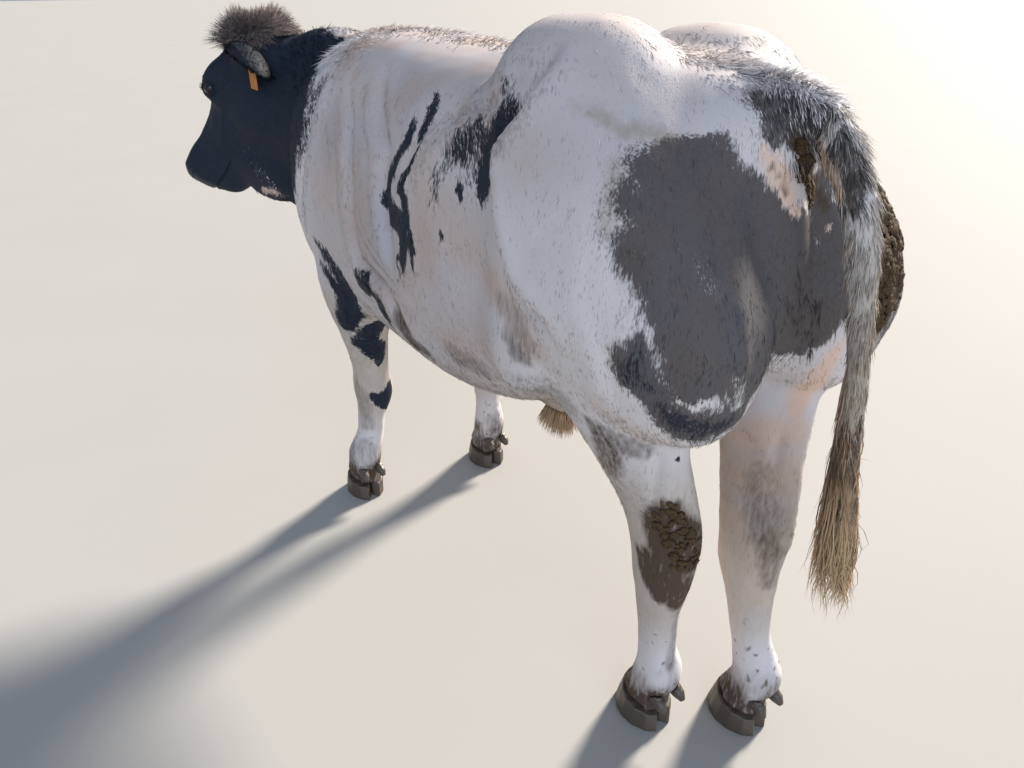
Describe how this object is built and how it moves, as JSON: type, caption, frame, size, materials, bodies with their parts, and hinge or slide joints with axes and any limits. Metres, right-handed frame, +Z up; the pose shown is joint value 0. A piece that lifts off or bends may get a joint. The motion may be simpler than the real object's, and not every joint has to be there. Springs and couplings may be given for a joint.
{
  "type": "belgian blue cattle",
  "caption": "Still life-size model of a double-muscled Belgian Blue bull, standing square with its head turned to its left.",
  "frame": {"origin": "on the floor, below the middle of the whole model's box", "axes": "+Z up, the bull faces -Y, its left side is +X"},
  "size_m": [0.786, 2.111, 1.4031],
  "materials": {
    "claw_horn": "dull dark horn with mud",
    "cream_hair": "cream hair",
    "dark_coat": "short dark blue-black coat",
    "eye_gloss": "wet dark eye",
    "grizzled_hair": "longer grizzled hair",
    "pale_coat": "short white and blue roan coat",
    "straw_hair": "long brown to straw-coloured hair",
    "tag_plastic": "orange tag without print"
  },
  "bodies": {
    "root": {"claw_fore_left_inner": "claw_horn", "claw_fore_left_outer": "claw_horn", "claw_fore_right_inner": "claw_horn", "claw_fore_right_outer": "claw_horn", "claw_hind_left_inner": "claw_horn", "claw_hind_left_outer": "claw_horn", "claw_hind_right_inner": "claw_horn", "claw_hind_right_outer": "claw_horn", "dewclaw_fore_left_inner": "claw_horn", "dewclaw_fore_left_outer": "claw_horn", "dewclaw_fore_right_inner": "claw_horn", "dewclaw_fore_right_outer": "claw_horn", "dewclaw_hind_left_inner": "claw_horn", "dewclaw_hind_left_outer": "claw_horn", "dewclaw_hind_right_inner": "claw_horn", "dewclaw_hind_right_outer": "claw_horn", "ear_left": "dark_coat", "ear_right": "dark_coat", "ear_tag": "tag_plastic", "eye_left": "eye_gloss", "eye_right": "eye_gloss", "foreleg_left": "pale_coat", "foreleg_right": "pale_coat", "head": "dark_coat", "hindleg_left": "pale_coat", "hindleg_right": "pale_coat", "neck": "dark_coat", "poll_tuft": "grizzled_hair", "sheath_tuft": "cream_hair", "tail": "pale_coat", "tail_switch": "straw_hair", "torso": "pale_coat"}
  },
  "joints": []
}
